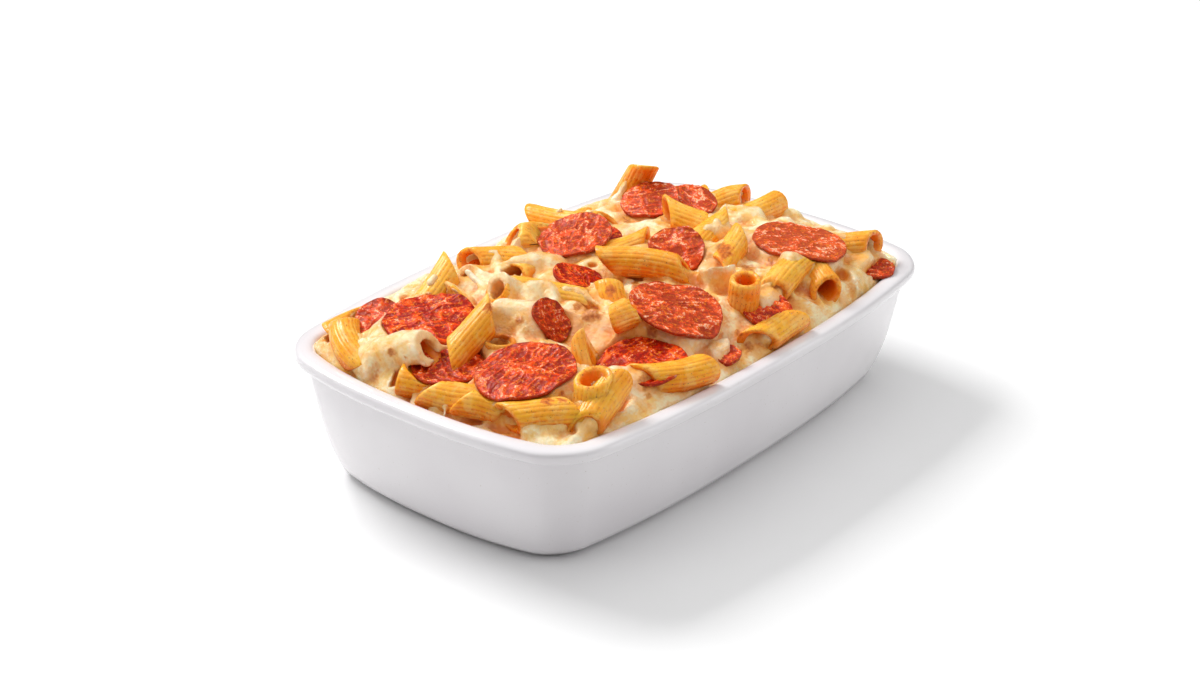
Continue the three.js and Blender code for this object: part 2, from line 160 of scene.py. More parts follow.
# Sheets and strings of cheese that show: from, to and radius.
DRAPES = [
    ((-102, 36, -1), (-102.5, 18, -1.5), 7), ((-100, 30, 2.5), (-101, 20, 2), 6.5),
    ((-102.5, 44, -3.5), (-103.5, 34, -3), 6.5), ((-99.3, -39.9, 3), (-103.6, -45.9, -1), 4),
    ((-95.4, -42.4, 5), (-99.8, -50.3, -1), 3.4), ((-102.1, -32.4, 7), (-102.3, -37.1, 4), 2.4),
    ((-106.9, 10.8, 1), (-109.1, 11.6, 0), 3), ((-106.1, 38.0, 4), (-110.4, 35.4, 0), 1.3),
    ((-104.9, 36.0, 5), (-113.3, 26.4, 0), 1.2), ((-85.2, 39.6, 9), (-96.4, 40.6, 5), 2.2),
    ((-85.7, 39.1, 8.5), (-96.8, 35.5, 6), 2.4), ((-86.7, 37.6, 8.5), (-96.8, 30.9, 7), 2.4),
    ((-87.7, 36.1, 8), (-96.5, 26.1, 7), 1.6), ((-104.8, 39.1, 6), (-112.4, 29.7, 1), 1.5),
    ((-102.3, 35.5, 7), (-112.7, 24.4, 2), 1.6), ((-100.7, 33.0, 8), (-99.5, 20.0, 10), 1.8),
    ((-55.9, 37.7, 14), (-57.9, 24.3, 12), 1.3), ((-47.6, 34.6, 17), (-48.9, 24.4, 13), 1.2),
    ((-82.5, -43.2, 8), (-91.3, -53.3, 2), 2.4), ((-91.2, -42.5, 8), (-97.1, -52.9, 1.5), 2.4),
    ((-85.3, -51.8, 8), (-91.3, -61.3, 2), 2.2),
]


# ---- Repeatable noise ---------------------------------------------------------------------------
def random(seed):
    """The part's own random numbers, from 0 to 1."""
    state = seed
    while True:
        state = (state * 1664525 + 1013904223) % 4294967296
        yield state / 4294967296


def lattice(cell, seed):
    """A random value from 0 to 1 for each whole-numbered place."""
    n = cell[0] * 374761393 + cell[1] * 668265263 + cell[2] * 1440662683 + seed * 974634777
    n = n & 0x7FFFFFFF
    n = ((n ^ (n >> 13)) * 1274126177) & 0x7FFFFFFF
    n = ((n ^ (n >> 16)) * 1911520717) & 0x7FFFFFFF
    return ((n >> 8) & 0xFFFF) / 65535.0


def noise(x, y, z, size, seed=0):
    """Smooth noise from -1 to 1, with features of so many millimetres."""
    cells, parts = [], []
    for value in np.broadcast_arrays(x, y, z):
        scaled = np.asarray(value, dtype=np.float64) / size
        whole = np.floor(scaled).astype(np.int64)
        part = scaled - whole
        cells.append(whole)
        parts.append(part * part * part * (part * (part * 6 - 15) + 10))
    total = 0.0
    for steps in itertools.product((0, 1), repeat=3):
        weight = 1.0
        for part, step in zip(parts, steps):
            weight = weight * (part if step else 1 - part)
        total = total + weight * lattice([cell + step for cell, step in zip(cells, steps)], seed)
    return total * 2 - 1


def smoothstep(low, high, value):
    part = np.clip((value - low) / (high - low), 0, 1)
    return part * part * (3 - 2 * part)


def smooth_union(a, b, k):
    """The lower of two fields, with a fillet of about k where they meet."""
    part = np.clip(0.5 + 0.5 * (b - a) / k, 0, 1)
    return b + (a - b) * part - k * part * (1 - part)


def smooth_cut(a, b, k):
    """Field a with b taken away."""
    return -smooth_union(-a, b, k)


def shared(*distances):
    """The distance to the space that all of several shapes share."""
    return reduce(np.maximum, distances)


def ahead(u, v, way):
    """How far places lie in a direction, which is in radians."""
    return u * math.cos(way) + v * math.sin(way)


def toasted(points):
    """How browned each point is, from 0 to 1: ragged spots that fade outwards."""
    ragged = 1 + 0.35 * noise(*points.T, 2.6, 21) + 0.25 * noise(*points.T, 1.2, 22)
    most = np.zeros(len(points))
    for x, y, height, across in TOASTED:
        moved = points - [x, y, DISH_HEIGHT + height]
        deep = moved @ FRONT
        aside = np.linalg.norm(moved - deep[:, None] * FRONT, axis=1)
        spot = smoothstep(across * 0.62, across * 0.25, aside * ragged)
        most = np.maximum(most, np.where(np.abs(deep) < 12, spot, 0))
    return most


# ---- Meshes -------------------------------------------------------------------------------------
def add_object(name, data):
    made = bpy.data.objects.new(name, data)
    bpy.context.scene.collection.objects.link(made)
    return made


def read_vertices(mesh, name):
    """The mesh's points or its normals, as rows of three."""
    values = np.empty(len(mesh.vertices) * 3, dtype=np.float32)
    mesh.vertices.foreach_get(name, values)
    return values.reshape(-1, 3).astype(float)


def add_values(mesh, values):
    """Gives a mesh named values for its points, for its material to read."""
    for key, value in values.items():
        attribute = mesh.attributes.new(key, "FLOAT", "POINT")
        attribute.data.foreach_set("value", np.asarray(value, dtype=np.float32))


def make_piece(name, points, faces, material, values=None):
    """A smooth-shaded piece on the root body, from points in millimetres, arrays of faces with as
    many corners each, and named values for its points."""
    mesh = bpy.data.meshes.new(name)
    corners = np.concatenate([part.ravel() for part in faces]).astype(np.int32)
    sizes = np.concatenate([np.full(len(part), part.shape[1]) for part in faces])
    starts = np.concatenate([[0], np.cumsum(sizes)[:-1]]).astype(np.int32)
    mesh.vertices.add(len(points))
    mesh.vertices.foreach_set("co", (np.asarray(points) * MM).astype(np.float32).ravel())
    mesh.loops.add(len(corners))
    mesh.loops.foreach_set("vertex_index", corners)
    mesh.polygons.add(len(sizes))
    mesh.polygons.foreach_set("loop_start", starts)
    mesh.update(calc_edges=True)
    mesh.validate()
    mesh.shade_smooth()
    add_values(mesh, values or {})
    mesh.materials.append(material)
    piece = add_object(name, mesh)
    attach(piece, "root")
    return piece


def grid_faces(rows, columns):
    """The quads of a lattice of points, row by row, with each row closed on itself."""
    row, column = np.meshgrid(np.arange(rows - 1), np.arange(columns), indexing="ij")
    after = (column + 1) % columns
    corners = [row * columns + column, row * columns + after]
    corners += [(row + 1) * columns + after, (row + 1) * columns + column]
    return np.stack([part.ravel() for part in corners], axis=1)


def closed(rings, middles):
    """The points and faces of rings joined in order, each end shut by a fan to its middle."""
    rows, count = len(rings), len(rings[0])
    i = np.arange(count)
    j = (i + 1) % count
    last = (rows - 1) * count
    first_fan = np.stack([np.full(count, rows * count), j, i], axis=1)
    last_fan = np.stack([np.full(count, rows * count + 1), last + i, last + j], axis=1)
    return np.vstack([*rings, middles]), [grid_faces(rows, count), np.concatenate([first_fan, last_fan])]


# ---- Dish ---------------------------------------------------------------------------------------
def inset(shape, by):
    """An outline drawn in by so much."""
    drawn = dict(shape)
    drawn["half_length"] = shape["half_length"] - by
    drawn["half_width"] = shape["half_width"] - by
    drawn["corner"] = np.maximum(shape["corner"] - by, 2.0)
    return drawn


def wall_shape(z):
    """The outline of the dish's outer wall at a height."""
    down = np.clip((WALL_TOP - z) / WALL_TOP, 0, 1)
    share = 0.6 * down + 0.4 * down**4
    top = inset(RIM, RIM_OVERHANG)
    return {key: top[key] + (BASE[key] - top[key]) * share for key in top}


def limits(shape, x, y):
    """How far out along x and along y an outline reaches, at places in it."""
    along = np.minimum(1, np.abs(x / shape["half_length"])) ** BOW_POWER
    across = np.minimum(1, np.abs(y / shape["half_width"])) ** BOW_POWER
    end = shape["half_length"] + shape["end_bow"] * (1 - across)
    side = shape["half_width"] + shape["side_bow"] * (1 - along)
    return end, side


def outline(shape):
    """The outline's points, anticlockwise: round corners, bowed sides and bowed ends."""
    corner_steps, side_steps, end_steps = 14, 44, 26
    length, width, corner = shape["half_length"], shape["half_width"], shape["corner"]
    arcs = []
    for k, (sx, sy) in enumerate([(1, 1), (-1, 1), (-1, -1), (1, -1)]):
        turn = np.radians(90 * k + 90 * np.arange(corner_steps + 1) / corner_steps)
        x = sx * (length - corner) + corner * np.cos(turn)
        y = sy * (width - corner) + corner * np.sin(turn)
        arcs.append(np.stack([x, y], axis=1))
    points = []
    for k, steps in enumerate([side_steps, end_steps] * 2):
        straight = np.linspace(arcs[k][-1], arcs[(k + 1) % 4][0], steps + 1)
        points += [arcs[k], straight[1:-1]]
    x, y = np.vstack(points).T
    end, side = limits(shape, x, y)
    return x * end / length, y * side / width


def spread(stops, steps):
    """A smooth curve through profile points, with so many steps from each to the next."""
    stops = np.array(stops, dtype=float)
    padded = np.vstack([2 * stops[0] - stops[1], stops, 2 * stops[-1] - stops[-2]])
    curve = []
    for i in range(1, len(padded) - 2):
        a, b, c, d = padded[i - 1 : i + 3]
        for step in range(steps):
            t = step / steps
            curve.append(0.5 * (
                2 * b + (c - a) * t + (2 * a - 5 * b + 4 * c - d) * t**2 + (3 * b - a - 3 * c + d) * t**3
            ))
    curve.append(stops[-1])
    return curve


def make_dish(material):
    """The dish's skin: under the foot, up the wall, over the rim and down to the floor inside."""
    foot = [(50.0, 0.0), (30.0, 0.0), (8.0, 0.0), (4.4, 0.05), (2.6, 0.45), (1.3, 1.3), (0.55, 2.6)]
    rings = [(inset(wall_shape(0), by), z) for by, z in foot]
    for z in np.linspace(FOOT_ROUND, WALL_TOP - 0.6, 19):
        rings.append((wall_shape(z), z))
    # The rim in profile, as how far in from its outer face and the height. It starts with the
    # undercut that throws the dark line below the rim.
    rim = [(4.0, 44.8), (3.75, 45.6), (2.9, 46.15), (1.75, 46.35), (0.85, 46.9), (0.25, 48.2)]
    rim += [(0.0, 49.7), (0.35, 50.9), (1.3, 51.6), (2.7, 51.9), (4.3, 52.0), (5.7, 51.75)]
    rim += [(6.75, 51.0), (7.3, 49.8), (7.42, 48.4)]
    rings += [(inset(RIM, by), z) for by, z in spread(rim, 3)]
    inside_foot = FLOOR_THICKNESS + FOOT_ROUND
    for z in np.linspace(rim[-1][1], inside_foot, 9)[1:]:
        rings.append((inset(wall_shape(z), WALL_THICKNESS), z))
    for by, drop in [(0.5, 2.2), (1.6, 3.3), (4.0, 4.0), (30.0, 4.0), (45.0, 4.0)]:
        z = inside_foot - drop
        rings.append((inset(wall_shape(z), WALL_THICKNESS + by), z))
    loops = []
    for shape, z in rings:
        x, y = outline(shape)
        loops.append(np.stack([x, y, np.full_like(x, z)], axis=1))
    piece = make_piece("dish_glazed", *closed(loops, [[0, 0, 0], [0, 0, FLOOR_THICKNESS]]), material)
    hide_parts("dish")


def inside_limits(x, y, z, clear):
    """How far out along x and along y the inside of the dish reaches, at places in it."""
    return limits(inset(wall_shape(z), WALL_THICKNESS + clear), x, y)


def keep_inside(points, clear):
    """Pushes points that lie in the dish's wall, or beyond it, back inside it."""
    x, y, z = points.T
    end, side = inside_limits(x, y, z, clear)
    low = z < DISH_HEIGHT - 0.5
    points[:, 0] = np.where(low, np.clip(x, -end, end), x)
    points[:, 1] = np.where(low, np.clip(y, -side, side), y)
    return points


# ---- Heap ---------------------------------------------------------------------------------------
def heap_height(x, y):
    along = np.maximum(0, 1 - np.abs(x / HEAP["half_length"]) ** HEAP["power"])
    across = np.maximum(0, 1 - np.abs(y / HEAP["half_width"]) ** HEAP["power"])
    return DISH_HEIGHT + HEAP["edge"] + HEAP["rise"] * (along * across) ** HEAP["fullness"]


def far_penne_places():
    """The low penne on the far parts of the heap, by the part's own rule and draws."""
    draws = random(FAR_PENNE["seed"])
    rim = inset(RIM, RIM_WIDTH + PENNE["radius"])

    def along(x, y, heading, by):
        return x + math.cos(math.radians(heading)) * by, y + math.sin(math.radians(heading)) * by

    def inside(x, y):
        end, side = limits(rim, x, y)
        return abs(x) < end and abs(y) < side

    taken = [place for place, _ in PENNE_PLACES]
    places = []
    tries = 0
    while len(places) < FAR_PENNE["count"] and tries < 900:
        x0, x1, y0, y1 = FAR_ZONES[tries % len(FAR_ZONES)]
        tries += 1
        x = x0 + (x1 - x0) * next(draws)
        y = y0 + (y1 - y0) * next(draws)
        heading = 360 * next(draws)
        shortest, longest = FAR_PENNE["length"]
        length = shortest + (longest - shortest) * next(draws)
        middle = along(x, y, heading, length / 2)
        others = [along(other[0], other[1], other[3], other[6] / 2) for other in taken + places]
        free = all(math.dist(middle, other) > FAR_PENNE["apart"] for other in others)
        if not free or not inside(x, y) or not inside(*along(x, y, heading, length)):
            continue
        rise = FAR_PENNE["tilt"] * (next(draws) - 0.5)
        level = float(heap_height(*middle)) - DISH_HEIGHT + FAR_PENNE["lift"]
        turn = 360 * next(draws)
        start = level - math.sin(math.radians(rise)) * length / 2
        places.append((x, y, start, heading, rise, turn, length))
    return places


class Placed:
    """A piece with axes of its own, the columns of turned, from its start."""

    def own(self, x, y, z):
        """Places in the dish, along the piece's axes."""
        moved = [x - self.start[0], y - self.start[1], z - self.start[2]]
        return [sum(moved[i] * self.turned[i, j] for i in range(3)) for j in range(3)]

    def placed(self, local):
        """Places along the piece's axes, in the dish."""
        return local @ self.turned.T + self.start


class Tube(Placed):
    """One penne: its place, its axes and its small irregularities."""

    def __init__(self, place, look, number):
        x, y, height, heading, rise, turn, self.length = place[:7]
        slant = place[7] if len(place) > 7 else PENNE["slant"]
        self.cover, self.bow, self.pale = look
        self.number = number
        self.slope = math.tan(math.radians(slant))
        self.turn = math.radians(turn)
        self.near = PENNE["radius"] * self.slope * 0.5
        self.far = self.length - self.near
        rng = np.random.default_rng(1000 + number)
        self.oval = rng.uniform(-0.05, 0.07)
        self.oval_turn = rng.uniform(0, math.pi)
        self.bow_turn = rng.uniform(0, 2 * math.pi)
        self.twist = rng.uniform(-0.25, 0.25)
        self.shade = rng.uniform(0, 1)
        self.pinch = rng.uniform(0.03, 0.13)
        turned = Matrix.Rotation(math.radians(heading), 3, "Z") @ Matrix.Rotation(-math.radians(rise), 3, "Y")
        self.turned = np.array(turned)
        self.start = np.array([x, y, DISH_HEIGHT + height])
        self.under = []

    def bend(self, x):
        """How far the tube's middle strays sideways, along its length."""
        t = np.clip(x / self.length, 0, 1)
        by = PENNE["bow"] * self.bow * 4 * t * (1 - t)
        return by * math.cos(self.bow_turn), by * math.sin(self.bow_turn)

    def straight(self, x, y, z):
        """The tube's own coordinates of places, with its bend taken out."""
        along, aside, up = self.own(x, y, z)
        by, bz = self.bend(along)
        return along, aside - by, up - bz

    def lean(self, aside, up):
        """How far along the tube its slanted cut lies from the cut's middle."""
        return ahead(aside, up, self.turn) * self.slope

    def lay_under(self, slices):
        """Finds the slices that lie over this penne."""
        along = np.linspace(self.near, self.far, 25)
        middle = self.placed(np.stack([along, 0 * along, 0 * along], axis=1))
        for one in slices:
            u, v, w = one.flat(*middle.T)
            close = (np.hypot(u, v) < one.radius + 3) & (np.abs(w) < 8.5)
            over = (self.number, one.number) in LIES_OVER
            if close.any() and w[close].mean() < -1.0 and not over:
                self.under.append(one)


RIDGES = 21
AROUND = RIDGES * 4
TUBE_STEPS = 11


def tube_mesh(tube):
    """A ridged tube's points, how much each is on a ridge and how much inside, and its rings."""
    pitch = np.array([0.0, 0.35, 0.5, 0.65])
    angle = 2 * np.pi / RIDGES * (np.arange(RIDGES)[:, None] + pitch).ravel()
    ridge = np.tile([1.0, 0.8, 0.0, 0.8], RIDGES)
    outer, hollow = PENNE["radius"], PENNE["radius"] - PENNE["wall"]
    middle = (outer + hollow) / 2
    near, far, low = tube.near, tube.far, PENNE["ridges"] / 2
    # Each ring's radius, place along the tube, share of the way, relief of the ridges, and how much
    # it is inside: from inside the near end round both cuts to inside the far one.
    rings = [
        (hollow, near + 9, 0.3, 0, 1.0),
        (hollow, near + 3, 0.1, 0, 1.0),
        (hollow + 0.1, near + 1, 0, 0, 0.8),
        (hollow + 0.45, near + 0.25, 0, 0, 0.2),
        (middle - 0.2, near - 0.1, 0, 0, 0.0),
        (middle + 0.5, near - 0.1, 0, 0, 0.0),
        (outer - 0.35, near + 0.15, 0, low, 0.0),
    ]
    for i in range(TUBE_STEPS + 1):
        share = i / TUBE_STEPS
        relief = PENNE["ridges"] if 0 < i < TUBE_STEPS else low
        rings.append((outer, near + 0.7 + (far - near - 1.4) * share, share, relief, 0.0))
    rings += [
        (outer - 0.35, far - 0.15, 1, low, 0.0),
        (middle + 0.5, far + 0.1, 1, 0, 0.0),
        (hollow + 0.45, far - 0.1, 1, 0, 0.2),
        (hollow, far - 1, 1, 0, 0.8),
        (hollow, far - 8, 0.8, 0, 1.0),
    ]
    places = []
    for radius, end, share, relief, _ in rings:
        from_end = min(abs(end - near), abs(far - end))
        oval = tube.oval + tube.pinch * math.exp(-from_end / PENNE["pinched"])
        r = radius * (1 + oval * np.cos(2 * (angle - tube.oval_turn)))
        r = r + relief * (ridge - 1)
        spun = angle + tube.twist * share
        aside, up = r * np.cos(spun), r * np.sin(spun)
        along = end + tube.lean(aside, up)
        by, bz = tube.bend(along)
        places.append(np.stack([along, aside + by, up + bz], axis=1))
    local = np.concatenate(places)
    wobble = noise(*local.T, 9.0, 40 + tube.number) * PENNE["wobble"]
    spoke = local * [0, 1, 1]
    spoke = spoke / np.maximum(np.linalg.norm(spoke, axis=1, keepdims=True), 1e-6)
    placed = tube.placed(local + spoke * wobble[:, None])
    for one in tube.under:
        placed = one.pressed(placed)
    ridges = np.concatenate([ridge * (ring[3] > 0) for ring in rings])
    inner = np.repeat([ring[4] for ring in rings], AROUND)
    return placed, ridges, inner, len(rings)


def make_penne(tubes, material):
    points, faces, start = [], [], 0
    values = {"ridge": [], "inner": [], "shade": [], "pale": []}
    i = np.arange(AROUND)
    j = (i + 1) % AROUND
    for tube in tubes:
        place, ridge, inner, rows = tube_mesh(tube)
        last = (rows - 1) * AROUND
        hollow = np.stack([last + i, last + j, j, i], axis=1)
        points.append(place)
        faces += [start + grid_faces(rows, AROUND), start + hollow]
        start += len(place)
        for key, value in zip(values, (ridge, inner, tube.shade, tube.pale)):
            values[key].append(np.broadcast_to(value, len(place)))
    values = {key: np.concatenate(parts) for key, parts in values.items()}
    placed = keep_inside(np.concatenate(points), 0.5)
    values["toast"] = toasted(placed)
    x, y, z = placed.T
    # Painted shade: how close each point lies to the cheese below, for a deeper orange low down.
    deep = z - ground_height(x, y) + 1.6 * noise(x, y, z, 5.0, 31)
    values["sauce"] = smoothstep(3.4, 0.2, deep)
    piece = make_piece("penne", placed, faces, material, values)
    # How far each point faces up, which the material turns into painted light and shade.
    add_values(piece.data, {"upward": smoothstep(-0.35, 0.75, read_vertices(piece.data, "normal")[:, 2])})
    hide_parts("pasta_heap")


# ---- Cheese -------------------------------------------------------------------------------------
VOXEL = 0.75
CHEESE_TRIANGLES = 195000
GRID_LOW = np.array([-120.0, -75.0, 44.0])
GRID_HIGH = np.array([120.0, 75.0, 80.0])


class Field:
    """A signed distance on a grid: below 0 is cheese."""

    def __init__(self):
        self.axes = [np.arange(low, high, VOXEL) for low, high in zip(GRID_LOW, GRID_HIGH)]
        ground = ground_height(*np.meshgrid(self.axes[0], self.axes[1], indexing="ij"))
        self.values = (self.axes[2][None, None, :] - ground[:, :, None]) * 0.85

    def join(self, low, high, distance, k, rule=smooth_union):
        """Joins on a shape, by its box, its distance function and the size of the fillet."""
        index, places = [], []
        for axis, a, b in zip(self.axes, low, high):
            first, last = np.searchsorted(axis, [a, b])
            index.append(slice(first, last))
            places.append(axis[first:last])
        index = tuple(index)
        if self.values[index].size:
            added = distance(*np.meshgrid(*places, indexing="ij"))
            self.values[index] = rule(self.values[index], added, k)

    def cut(self, low, high, distance, k):
        self.join(low, high, distance, k, smooth_cut)


SHORE = {"level": -1.6, "uneven": 0.9, "slope": 1.1, "dip": 3.4, "dip_from": 24.0, "dip_to": 9.0}
NEAR_END = {"dip": 5.0, "from": -92.0, "to": -106.0, "ends": 14.0, "deep": 4.0}
# The surface's waves, as their height, size and seed.
WAVES = [(1.3, 17.0, 3), (1.0, 8.0, 4), (0.4, 3.6, 5)]


def off_wall(x, y):
    """How far places at the rim's height are from the inside of the dish's wall."""
    end, side = inside_limits(x, y, DISH_HEIGHT, FIT_GAP)
    return np.minimum(end - np.abs(x), side - np.abs(y))


def ground_height(x, y):
    """The cheese between the penne, which lies lower along the wall."""
    apart = off_wall(x, y)
    near = smoothstep(SHORE["dip_from"], SHORE["dip_to"], apart) * smoothstep(-2.0, 8.0, apart)
    level = heap_height(x, y) + 0.9 - SHORE["dip"] * near
    dip = smoothstep(NEAR_END["from"], NEAR_END["to"], x) * smoothstep(NEAR_END["ends"], NEAR_END["deep"], y)
    level = level - NEAR_END["dip"] * dip
    for height, size, seed in WAVES:
        level = level + height * noise(x, y, 0, size, seed)
    return level


def capsule(start, end, radius):
    """A distance function for a rounded rod."""
    start, end = np.asarray(start, dtype=float), np.asarray(end, dtype=float)
    span = end - start
    reach = max(float(span @ span), 1e-9)

    def distance(x, y, z):
        moved = [x - start[0], y - start[1], z - start[2]]
        t = np.clip(sum(m * s for m, s in zip(moved, span)) / reach, 0, 1)
        return np.sqrt(sum((m - s * t) ** 2 for m, s in zip(moved, span))) - radius

    low = np.minimum(start, end) - radius - 5
    high = np.maximum(start, end) + radius + 5
    return low, high, distance


def tube_span(tube, margin):
    ends = tube.placed(np.array([[0.0, 0, 0], [tube.length, 0, 0]]))
    reach = PENNE["radius"] + margin
    return ends.min(axis=0) - reach, ends.max(axis=0) + reach


def tube_distance(tube):
    """The distance to a penne's filled outside, with its coat of cheese added where it has one."""
    steep = math.sqrt(1 + tube.slope**2)

    def distance(x, y, z):
        along, aside, up = tube.straight(x, y, z)
        lean = tube.lean(aside, up)
        near = (tube.near + lean - along) / steep
        far = (along - tube.far - lean) / steep
        body = shared(np.sqrt(aside**2 + up**2) - PENNE["radius"], near, far)
        patch = 0.5 + 0.5 * noise(x, y, z, 16.0, 300 + tube.number)
        patch = 0.9 * patch + 0.1 * (0.5 + 0.5 * noise(x, y, z, 5.0, 400 + tube.number))
        cover = smoothstep(-0.16, 0.16, tube.cover - patch)
        body = body - (COAT["bare"] + (COAT["thick"] - COAT["bare"]) * cover)
        return shared(body, *(-one.above(x, y, z) for one in tube.under))

    return distance


def hole_distance(tube):
    """The distance to the hollow at the penne's showing end, and a little way out of it."""

    def distance(x, y, z):
        along, aside, up = tube.straight(x, y, z)
        out = np.sqrt(aside**2 + up**2) - (PENNE["radius"] - PENNE["wall"] - 0.1)
        lean = tube.lean(aside, up)
        inwards = along - tube.near - lean
        return shared(out, inwards - HOLE["deep"], -inwards - HOLE["before"])

    return distance


class Slice(Placed):
    """One pepperoni slice: its place, its axes and its waves."""

    def __init__(self, place, look, number):
        x, y, height, towards, lean, across = place
        self.pale, self.ripple, self.bend, self.covered = look
        self.number = number
        self.radius = across / 2
        self.phase = np.random.default_rng(700 + number).uniform(0, 2 * np.pi, 3)
        axis = Vector((-math.sin(math.radians(towards)), math.cos(math.radians(towards)), 0))
        self.turned = np.array(Matrix.Rotation(math.radians(lean), 3, axis))
        self.start = np.array([x, y, DISH_HEIGHT + height])

    def rise(self, u, v):
        """How far the slice's middle layer is off a flat disc: bent, cupped and wavy."""
        share = np.minimum(np.hypot(u, v) / self.radius, 1.15)
        turn = np.arctan2(v, u)
        way, by = self.bend
        along = np.clip(ahead(u, v, math.radians(way)) / self.radius + 0.15, 0, 1.3)
        swell = 0.6 * share**3 + 0.5 * share**2 * np.sin(3 * turn + self.phase[0])
        swell = swell + 0.3 * share**3 * np.sin(5 * turn + self.phase[1])
        waves = 0.6 * noise(u, v, 0, 9.0, 60 + self.number) + 0.34 * noise(u, v, 0, 4.0, 80 + self.number)
        return by * along**2 + (swell + waves) * self.ripple

    def laid(self, local):
        """Places on the disc, and heights off its middle layer, as places in the dish."""
        return self.placed(local + self.rise(local[:, 0], local[:, 1])[:, None] * [0, 0, 1])

    def flat(self, x, y, z):
        """Places in the dish, as places on the disc and heights off its middle layer."""
        u, v, w = self.own(x, y, z)
        return u, v, w - self.rise(u, v)

    def beyond(self, u, v, wider):
        """How far places on the disc are beyond its edge, were it so much wider."""
        return np.sqrt(u**2 + v**2) - self.radius - wider

    def span(self, margin):
        reach = self.radius + margin
        return self.start - reach, self.start + reach

    def bared(self, u, v):
        """Where this slice isn't to be kept bare of cheese: above 0 in its covered part."""
        if self.covered is None:
            return -1e3
        way, off_middle = self.covered
        return ahead(u, v, math.radians(way)) - off_middle

    def above(self, x, y, z):
        """The distance to the space over the slice, which opens outwards."""
        u, v, w = self.flat(x, y, z)
        out = (self.beyond(u, v, 0.5) - 0.7 * np.maximum(w, 0)) * 0.8
        return shared(out, -(w + 0.35), self.bared(u, v))

    def room(self, x, y, z):
        """The distance to the slice's own space."""
        u, v, w = self.flat(x, y, z)
        return shared(self.beyond(u, v, 0.3), np.abs(w - 0.4) - 1.6, self.bared(u, v))

    def bed(self, x, y, z):
        """The distance to the cheese that the slice rests on."""
        u, v, w = self.flat(x, y, z)
        return shared(self.beyond(u, v, -1.0), np.abs(w + 4.0) - 3.0)

    def blanket(self, x, y, z):
        """The distance to the cheese that has run over the slice's covered part."""
        u, v, w = self.flat(x, y, z)
        ragged = 1.5 * noise(u, v, 0, 5.0, 140 + self.number)
        return shared(self.beyond(u, v, 1.0), np.abs(w - 0.6) - 1.9, ragged - self.bared(u, v))

    def pressed(self, points):
        """Points with those that reach above the slice's underside pushed down to it."""
        u, v, w = self.flat(*points.T)
        beyond = np.maximum(self.beyond(u, v, 0), 0)
        near = (beyond < 5) & (w < 14)
        return self.laid(np.stack([u, v, np.where(near, np.minimum(w, 2.6 * beyond - 1.2), w)], axis=1))


LUMPS = {"count": 260, "half": (1.5, 6.5), "radius": (1.6, 3.0), "sunk": (0.6, 1.8), "blend": 2.4}
BURIED = {"count": 70, "half": (6.0, 12.0), "radius": (4.2, 5.6), "sunk": (2.2, 4.6), "blend": 3.0}
STRINGS = {"count": 150, "reach": (7.0, 20.0), "radius": (0.75, 1.2), "sag": (0.6, 2.6), "blend": 2.0}
PITS = {"count": 130, "radius": (0.8, 2.1), "blend": 0.9}
DRAPE_BLEND = 2.2
# The cheese that fills the hidden end of each penne.
PLUG = {"radius": 4.0, "deep": 10.0, "in": 5.5, "blend": 1.0}
COAT = {"bare": -1.8, "thick": 0.9, "hides": 0.6, "blend": 3.2}
# How far the cheese is kept out of a penne's hollow, and in front of it.
HOLE = {"deep": 11, "before": 3, "blend": 0.7}


def add_rods(field, kind, rng):
    """Melted lumps, or whole penne sunk in the cheese, as rods that lie in its surface."""
    for _ in range(kind["count"]):
        x, y = rng.uniform(-110, 110), rng.uniform(-70, 70)
        radius = rng.uniform(*kind["radius"])
        z = float(ground_height(x, y)) - rng.uniform(*kind["sunk"])
        way = rng.uniform(0, math.pi)
        half = rng.uniform(*kind["half"])
        step = np.array([math.cos(way) * half, math.sin(way) * half, rng.uniform(-0.12, 0.12) * half])
        low, high, distance = capsule([x, y, z] - step, [x, y, z] + step, radius)
        field.join(low, high, distance, kind["blend"])


def add_strings(field, tubes, rng):
    """Strings of cheese that sag from the tops of the penne to the surface round them."""
    for _ in range(STRINGS["count"]):
        tube = tubes[rng.integers(len(tubes))]
        along = rng.uniform(0.25, 0.9) * tube.length
        start = tube.placed(np.array([along, 0.0, 0.0])) + [0, 0, PENNE["radius"] * 0.8]
        way = rng.uniform(0, 2 * math.pi)
        reach = rng.uniform(*STRINGS["reach"])
        end = start + np.array([math.cos(way) * reach, math.sin(way) * reach, 0])
        end[2] = float(ground_height(end[0], end[1])) + 0.3
        sag = rng.uniform(*STRINGS["sag"])
        radius = rng.uniform(*STRINGS["radius"])
        stops = [start + (end - start) * t - [0, 0, sag * 4 * t * (1 - t)] for t in np.linspace(0, 1, 5)]
        for first, last in zip(stops, stops[1:]):
            field.join(*capsule(first, last, radius), STRINGS["blend"])


def add_drapes(field):
    """The sheets and strings that have their own place."""
    for start, end, radius in DRAPES:
        start, end = ([x, y, DISH_HEIGHT + height] for x, y, height in (start, end))
        field.join(*capsule(start, end, radius), DRAPE_BLEND)


def add_pits(field, rng):
    """Burst bubbles."""
    for _ in range(PITS["count"]):
        x, y = rng.uniform(-112, 112), rng.uniform(-70, 70)
        radius = rng.uniform(*PITS["radius"])
        middle = [x, y, float(ground_height(x, y)) + radius * 0.5]
        field.cut(*capsule(middle, middle, radius), PITS["blend"])


